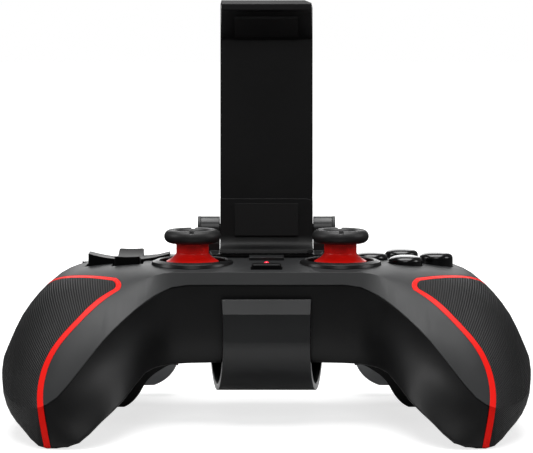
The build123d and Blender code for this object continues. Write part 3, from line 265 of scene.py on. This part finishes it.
# Triggers: the same plastic, painted a lighter grey as a painted reflection of the pale floor on their curved
# undersides
TRIGGER_FLOOR_SHEEN = Moulding("abs_trigger_painted_sheen", "#8f9092", "#999a9c", 0.4, grain_mm=0.4, grain_depth_mm=0.006)
# Phone clamp in glass-filled nylon: matte, nearly black, edges that catch the light
CLAMP_BLACK = Moulding("nylon_clamp_black", "#060607", "#0a0a0b", 0.5, grain_mm=0.45, grain_depth_mm=0.01,
                       edge_mm=0.4, specular=0.24)
# Bezel round a stick: gloss ABS straight from a polished mould
BEZEL_BLACK = Moulding("abs_bezel_black", "#070708", "#0b0b0c", 0.34, grain_depth_mm=0.002, specular=0.4)
# Buttons and bumpers: gloss ABS with a clear coat
BUTTON_BLACK = Moulding("abs_button_black", "#040405", "#070708", 0.2, grain_depth_mm=0.002, coat=0.25,
                        specular=0.35)
# Directional pad and home button: the same plastic from a duller mould
PAD_BLACK = Moulding("abs_pad_black", "#050506", "#09090a", 0.45, grain_depth_mm=0.003, specular=0.12)
# Grips in thermoplastic rubber, moulded with fine ridges that fan round the palm
GRIP_LEFT = Moulding("tpe_grip_left", "#0b0b0c", "#101011", 0.55, ridges=Ridges.FAN_LEFT, specular=0.26)
GRIP_RIGHT = Moulding("tpe_grip_right", "#0b0b0c", "#101011", 0.55, ridges=Ridges.FAN_RIGHT, specular=0.26)
# Stick caps in silicone rubber, dull and a little dusty
CAP_RUBBER = Moulding("silicone_cap_black", "#0a0a0b", "#0f0f10", 0.5, grain_mm=0.3, grain_depth_mm=0.015)
# Pads of the jaws in the same rubber
JAW_RUBBER = Moulding("silicone_jaw_black", "#070708", "#0b0b0c", 0.66, specular=0.3)
# Accents in ABS coloured through: a warm signal red
ACCENT_RED = Moulding("abs_accent_red", "#e8130c", "#ee1b12", 0.42, grain_depth_mm=0.003, specular=0.1)
# Stems of the sticks: the same red from a glossier mould
STEM_RED = Moulding("abs_stem_red", "#e8130c", "#f01910", 0.3, grain_depth_mm=0.003, specular=0.35)
# Inner works: natural nylon, silicone sheets, circuit board and cell
NYLON_GREY = Moulding("nylon_inner_grey", "#4a4a4a", "#565656", 0.5)
SHEET_GREY = Moulding("silicone_sheet_grey", "#9a9a98", "#8a8a88", 0.6)
BOARD_GREEN = Moulding("epoxy_board_green", "#123c22", "#164628", 0.35, grain_mm=1.5)
CELL_FILM = Moulding("cell_film_blue", "#3c4250", "#454b5a", 0.3, grain_mm=2.0)
# Steel of the pins and screws, drawn and lightly polished
PIN_STEEL = Turned("steel_pin", "#b9bbbd", 0.28)
# The hinge has a barrel of plain grey nylon
BARREL_GREY = Moulding("nylon_barrel_grey", "#1d1e1f", "#222324", 0.5)
# Signal lamp behind a clear red lens
LAMP_RED = Glow("lens_lamp_red", "#e8263c", 1.6)


@dataclass
class Wardrobe:
    """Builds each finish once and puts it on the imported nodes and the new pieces."""

    nodes: dict
    made: dict = field(default_factory=dict)

    def material(self, finish: Moulding | Turned | Glow) -> bpy.types.Material:
        """Give the material of a finish, which is built the first time."""
        if finish.name not in self.made:
            self.made[finish.name] = finish.build()
        return self.made[finish.name]

    def dress(self, finish: Moulding | Turned | Glow, *names: str) -> None:
        """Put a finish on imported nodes.

        Args:
            finish: what the nodes are made of.
            names: the nodes.
        """
        for name in names:
            mesh = self.nodes[name].data
            mesh.materials.clear()
            mesh.materials.append(self.material(finish))
            log.info("dressed %s in %s", name, finish.name)


@dataclass
class Workshop:
    """Makes the new pieces, dresses them and lets them ride on their bodies."""

    wardrobe: Wardrobe
    weld_mm: float = 0.002  # corners closer than this are one
    alike: float = 0.8  # cosine of the widest turn between normals that are averaged
    own_share_mm: float = 0.01  # edge of the area that a corner's own normal counts for at least

    def reshade(self, node: str, finish: Moulding, body: str, slot: str, crease: float = 32.0) -> bpy.types.Object:
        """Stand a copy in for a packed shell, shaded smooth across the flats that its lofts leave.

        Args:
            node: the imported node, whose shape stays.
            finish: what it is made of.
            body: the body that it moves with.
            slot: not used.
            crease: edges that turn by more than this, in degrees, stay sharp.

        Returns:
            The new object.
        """
        shape = bmesh.new()
        shape.from_mesh(self.wardrobe.nodes[node].data)
        bmesh.ops.remove_doubles(shape, verts=shape.verts, dist=self.weld_mm * MM)
        bmesh.ops.recalc_face_normals(shape, faces=shape.faces)
        for edge in shape.edges:
            edge.smooth = len(edge.link_faces) == 2 and edge.calc_face_angle(pi) < radians(crease)
        normals = self.calm_normals(shape)
        made = self.piece(f"{node}_shell", shape, finish, body)
        made.data.normals_split_custom_set(normals)
        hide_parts(node)
        return made

    def calm_normals(self, shape: bmesh.types.BMesh, reach: float = 7.0, lot: float = 1.5) -> list[Vector]:
        """Even out the normals over a small neighbourhood, as a moulder's polish evens out a tool.

        Args:
            shape: the mesh, in metres, with its sharp edges marked.
            reach: how far the normals are averaged, in millimetres.
            lot: width of the lots that neighbours are gathered in, in millimetres.

        Returns:
            A normal for every corner, in the order of the faces.
        """
        parted = shape.copy()
        bmesh.ops.split_edges(parted, edges=[edge for edge in parted.edges if not edge.smooth])
        parted.normal_update()
        lots: dict = {}
        for corner in parted.verts:
            share = sum(face.calc_area() for face in corner.link_faces) / 3
            key = (*(round(v / (lot * MM)) for v in corner.co), *(round(2 * v) for v in corner.normal))
            total = lots.setdefault(key, [0.0, Vector(), Vector()])
            total[0] += share
            total[1] += corner.co * share
            total[2] += corner.normal * share
        sums = [(place / share, way) for share, place, way in lots.values() if share > 0]
        near = kdtree.KDTree(len(sums))
        for number, (place, _) in enumerate(sums):
            near.insert(place, number)
        near.balance()
        calm = []
        for corner in parted.verts:
            total = corner.normal * (self.own_share_mm * MM) ** 2
            for _, number, far in near.find_range(corner.co, reach * MM):
                way = sums[number][1]
                if way.dot(corner.normal) > self.alike * way.length:
                    total = total + way * (1 - far / (reach * MM))
            calm.append(total.normalized())
        parted.verts.index_update()
        normals = [calm[loop.vert.index] for face in parted.faces for loop in face.loops]
        parted.free()
        log.info("calmed %d normals from %d lots", len(normals), len(sums))
        return normals

    def lens(self, name: str, place: tuple, radius: float, rise: float, finish: Moulding | Glow, body: str,
             slot: str) -> bpy.types.Object:
        """Make a low dome that lies on a surface.

        Args:
            name: the piece's name.
            place: the middle of its foot, in millimetres.
            radius: its radius, in millimetres.
            rise: its height, in millimetres.
            finish: what it is made of.
            body: the body that it moves with.
            slot: not used.

        Returns:
            The new object.
        """
        shape = bmesh.new()
        bmesh.ops.create_uvsphere(shape, u_segments=32, v_segments=16, radius=radius * MM)
        for corner in shape.verts:
            corner.co.z *= rise / radius
            corner.co += Vector(place) * MM
        return self.piece(name, shape, finish, body)

    def piece(self, name: str, shape: bmesh.types.BMesh, finish: Moulding | Turned | Glow, body: str) -> bpy.types.Object:
        """Turn a shape into a finished piece of the scene.

        Args:
            name: the piece's name.
            shape: its mesh, in metres, which is freed.
            finish: what it is made of.
            body: the body that it moves with.

        Returns:
            The new object.
        """
        bmesh.ops.recalc_face_normals(shape, faces=shape.faces)
        mesh = bpy.data.meshes.new(name)
        shape.to_mesh(mesh)
        shape.free()
        for polygon in mesh.polygons:
            polygon.use_smooth = True
        made = bpy.data.objects.new(name, mesh)
        bpy.context.scene.collection.objects.link(made)
        mesh.materials.append(self.wardrobe.material(finish))
        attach(made, body)
        log.info("made %s on %s", name, body)
        return made


@dataclass
class Housings:
    """Both shells, the grips with their strips, and what is screwed into them."""

    wardrobe: Wardrobe
    workshop: Workshop

    def build(self) -> None:
        """Dress the shells and the grips."""
        self.wardrobe.dress(SHELL_BLACK, "left_shoulder_fin", "right_shoulder_fin")
        self.workshop.reshade("upper_housing", SATIN_GREY, "controller", "grey_plastic")
        self.workshop.reshade("lower_housing", SHELL_BLACK, "controller", "black_plastic")
        self.workshop.reshade("left_grip_pad", GRIP_LEFT, "controller", "grip_rubber")
        self.workshop.reshade("right_grip_pad", GRIP_RIGHT, "controller", "grip_rubber")
        for side in ("left", "right"):
            self.workshop.reshade(f"{side}_trim_strip", ACCENT_RED, "controller", "red_plastic")
        self.wardrobe.dress(PIN_STEEL, "housing_screws", "usb_socket")
        self.wardrobe.dress(BOARD_GREEN, "main_board")
        self.wardrobe.dress(CELL_FILM, "battery")


@dataclass
class Sticks:
    """Both thumb sticks with their bezels and works."""

    wardrobe: Wardrobe
    workshop: Workshop

    def build(self) -> None:
        """Dress the sticks."""
        for side in ("left", "right"):
            self.wardrobe.dress(BEZEL_BLACK, f"{side}_stick_ring")
            self.wardrobe.dress(STEM_RED, f"{side}_stick_stem")
            self.wardrobe.dress(CAP_RUBBER, f"{side}_stick_cap")
            self.wardrobe.dress(NYLON_GREY, f"{side}_stick_module", f"{side}_gimbal_frame", f"{side}_gimbal_yoke")


@dataclass
class Buttons:
    """The directional pad, all buttons, their rubber sheets and the lamp."""

    wardrobe: Wardrobe
    workshop: Workshop
    lamp_place: tuple[float, float, float] = (0.0, 6.7, 48.0)
    lamp_radius: float = 0.8
    lamp_rise: float = 0.6

    def build(self) -> None:
        """Dress the buttons."""
        self.wardrobe.dress(BUTTON_BLACK, "button_near", "button_outer", "button_far", "button_inner")
        self.wardrobe.dress(PAD_BLACK, "dpad", "home_button", "select_button", "start_button")
        self.wardrobe.dress(SHEET_GREY, "dpad_membrane", "button_membrane")
        self.wardrobe.dress(NYLON_GREY, "dpad_pivot")
        self.wardrobe.dress(LAMP_RED, "signal_lamp")
        self.workshop.lens("signal_lens", self.lamp_place, self.lamp_radius, self.lamp_rise, LAMP_RED,
                           "controller", "lamp")


@dataclass
class Shoulders:
    """Bumpers and triggers on the rear edge."""

    wardrobe: Wardrobe
    workshop: Workshop

    def build(self) -> None:
        """Dress the shoulders."""
        for side in ("left", "right"):
            self.wardrobe.dress(BUTTON_BLACK, f"{side}_bumper")
            # The triggers take the lighter grey that is a painted reflection of the floor
            self.wardrobe.dress(TRIGGER_FLOOR_SHEEN, f"{side}_trigger")
            self.wardrobe.dress(PIN_STEEL, f"{side}_trigger_pin")


@dataclass
class PhoneClamp:
    """The clip round the body and the tilting clamp that holds a phone."""

    wardrobe: Wardrobe
    workshop: Workshop

    def build(self) -> None:
        """Dress the clip and the clamp."""
        self.wardrobe.dress(CLIP_GREY, "clip_body")
        self.wardrobe.dress(BARREL_GREY, "hinge_pin")
        self.wardrobe.dress(CLAMP_BLACK, "clamp_base", "slider", "upper_jaw")
        self.wardrobe.dress(JAW_RUBBER, "upper_jaw_pad", "lower_jaw_pad")


@dataclass(frozen=True)
class Softbox:
    """A square soft lamp: where it hangs and what it faces, in metres, its edge and its watts."""

    name: str
    place: tuple[float, float, float]
    aim: tuple[float, float, float]
    size: float
    power: float


@dataclass
class Studio:
    """White floor and background, soft lamps and the camera of the photograph."""

    # Camera, in millimetres and degrees: it looks a little above the middle of the deck
    focus: tuple[float, float, float] = (0.0, 7.9, 48.0)
    distance: float = 700.0
    elevation: float = 6.2
    aim_rise: float = 11.5
    lens: float = 150.6
    # Floor, in metres: the shadow shows near the middle, and further out the floor is plain white
    floor_half: float = 6.0
    shadow_reach: tuple[float, float] = (0.15, 0.5)
    shadow_glow: tuple[float, float] = (0.72, 1.0)
    shadow_white: str = "#bcbcbc"
    # What the object sees of the floor: how pale it is under the object and out in front
    table_reach: tuple[float, float] = (0.07, 0.2)
    table_tone: tuple[float, float] = (0.6, 0.08)
    # World: how bright it is for the object and for the camera
    soft_world: float = 0.11
    white_world: float = 1.0
    lamps: tuple[Softbox, ...] = (
        Softbox("top_softbox", (0.0, 0.1, 0.9), (0.0, 0.0, 0.04), 0.7, 9.5),
        Softbox("front_softbox", (0.0, -0.8, 0.75), (0.0, 0.0, 0.04), 0.5, 2.2),
        Softbox("left_strip", (-0.8, -0.1, 0.45), (0.0, 0.0, 0.05), 0.35, 1.8),
        Softbox("right_strip", (0.8, -0.1, 0.45), (0.0, 0.0, 0.05), 0.35, 1.8),
        Softbox("back_rim", (0.0, 0.9, 0.35), (0.0, 0.0, 0.05), 0.5, 2.0),
    )

    def build(self) -> None:
        """Set up the camera, the floor, the world and the lamps."""
        self.add_camera()
        self.add_floor()
        self.add_world()
        for lamp in self.lamps:
            self.add_lamp(lamp)

    def add_camera(self) -> None:
        """Place the camera as far away and as high as the photograph's."""
        data = bpy.data.cameras.new("photo_camera")
        data.lens = self.lens
        data.sensor_width = 36.0
        camera = bpy.data.objects.new("photo_camera", data)
        bpy.context.scene.collection.objects.link(camera)
        focus = Vector(self.focus) * MM
        tilt = radians(self.elevation)
        camera.location = focus + self.distance * MM * Vector((0, -cos(tilt), sin(tilt)))
        aim = focus + Vector((0, 0, self.aim_rise * MM))
        camera.rotation_euler = (aim - camera.location).to_track_quat("-Z", "Y").to_euler()
        bpy.context.scene.camera = camera

    def add_floor(self) -> None:
        """Lay a pale floor that keeps the shadow and shows white to the camera."""
        shape = bmesh.new()
        bmesh.ops.create_grid(shape, x_segments=1, y_segments=1, size=self.floor_half)
        mesh = bpy.data.meshes.new("studio_floor")
        shape.to_mesh(mesh)
        shape.free()
        floor = bpy.data.objects.new("studio_floor", mesh)
        bpy.context.scene.collection.objects.link(floor)
        material = bpy.data.materials.new("studio_floor")
        material.use_nodes = True
        tree = material.node_tree
        tree.nodes.clear()
        # To the camera the floor is white with a faint shadow, and plain white further out;
        # to the object it is a table, pale under it and dark in front, so that it lights the
        # undersides and doesn't grey the black walls
        light_path = add_node(tree, "ShaderNodeLightPath")
        place = add_node(tree, "ShaderNodeTexCoord").outputs["Object"]
        away = add_node(tree, "ShaderNodeVectorMath", {0: place}, operation="LENGTH")
        strength = self.fade(tree, away.outputs["Value"], self.shadow_reach, self.shadow_glow)
        glow = add_node(tree, "ShaderNodeEmission", {"Color": (1, 1, 1, 1), "Strength": strength})
        pale = add_node(tree, "ShaderNodeBsdfDiffuse", {"Color": from_hex(self.shadow_white)})
        seen = add_node(tree, "ShaderNodeAddShader", {0: pale.outputs[0], 1: glow.outputs[0]})
        shade = self.fade(tree, away.outputs["Value"], self.table_reach, self.table_tone)
        table = add_node(tree, "ShaderNodeBsdfDiffuse", {"Color": shade})
        both = add_node(tree, "ShaderNodeMixShader", {0: light_path.outputs["Is Camera Ray"],
                                                      1: table.outputs[0], 2: seen.outputs[0]})
        out = add_node(tree, "ShaderNodeOutputMaterial", {"Surface": both.outputs[0]})
        out.is_active_output = True
        mesh.materials.append(material)

    def add_world(self) -> None:
        """Fill the world with soft light, and with plain white where the camera sees it."""
        world = bpy.data.worlds.new("studio")
        bpy.context.scene.world = world
        world.use_nodes = True
        tree = world.node_tree
        tree.nodes.clear()
        light_path = add_node(tree, "ShaderNodeLightPath")
        soft = add_node(tree, "ShaderNodeBackground", {"Color": (1, 1, 1, 1), "Strength": self.soft_world})
        white = add_node(tree, "ShaderNodeBackground", {"Color": (1, 1, 1, 1), "Strength": self.white_world})
        mixed = add_node(tree, "ShaderNodeMixShader", {0: light_path.outputs["Is Camera Ray"],
                                                       1: soft.outputs[0], 2: white.outputs[0]})
        add_node(tree, "ShaderNodeOutputWorld", {"Surface": mixed.outputs[0]})

    @staticmethod
    def fade(tree: Tree, away: Socket, reach: tuple[float, float], values: tuple[float, float]) -> Socket:
        """Run from one value to another with the distance from the middle of the floor.

        Args:
            tree: the floor's node tree.
            away: the distance, in metres.
            reach: where the run starts and ends, in metres.
            values: the values there.

        Returns:
            The socket of the value.
        """
        run = add_node(tree, "ShaderNodeMapRange", {"Value": away, "From Min": reach[0], "From Max": reach[1],
                                                    "To Min": values[0], "To Max": values[1]})
        return run.outputs["Result"]

    @staticmethod
    def add_lamp(softbox: Softbox) -> None:
        """Hang a square soft lamp.

        Args:
            softbox: which lamp.
        """
        data = bpy.data.lights.new(softbox.name, "AREA")
        data.size = softbox.size
        data.energy = softbox.power
        lamp = bpy.data.objects.new(softbox.name, data)
        bpy.context.scene.collection.objects.link(lamp)
        lamp.location = softbox.place
        lamp.rotation_euler = (Vector(softbox.aim) - Vector(softbox.place)).to_track_quat("-Z", "Y").to_euler()


def main() -> None:
    """Load the frame and build every sub-assembly in order."""
    logging.basicConfig(level=logging.INFO, format="%(message)s")
    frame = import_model()
    bpy.context.scene.view_settings.view_transform = "Standard"
    wardrobe = Wardrobe(frame["nodes"])
    workshop = Workshop(wardrobe)
    Studio().build()
    for assembly in (Housings, Sticks, Buttons, Shoulders, PhoneClamp):
        assembly(wardrobe, workshop).build()
        log.info("finished %s", assembly.__name__)


if __name__ == "__main__":
    main()
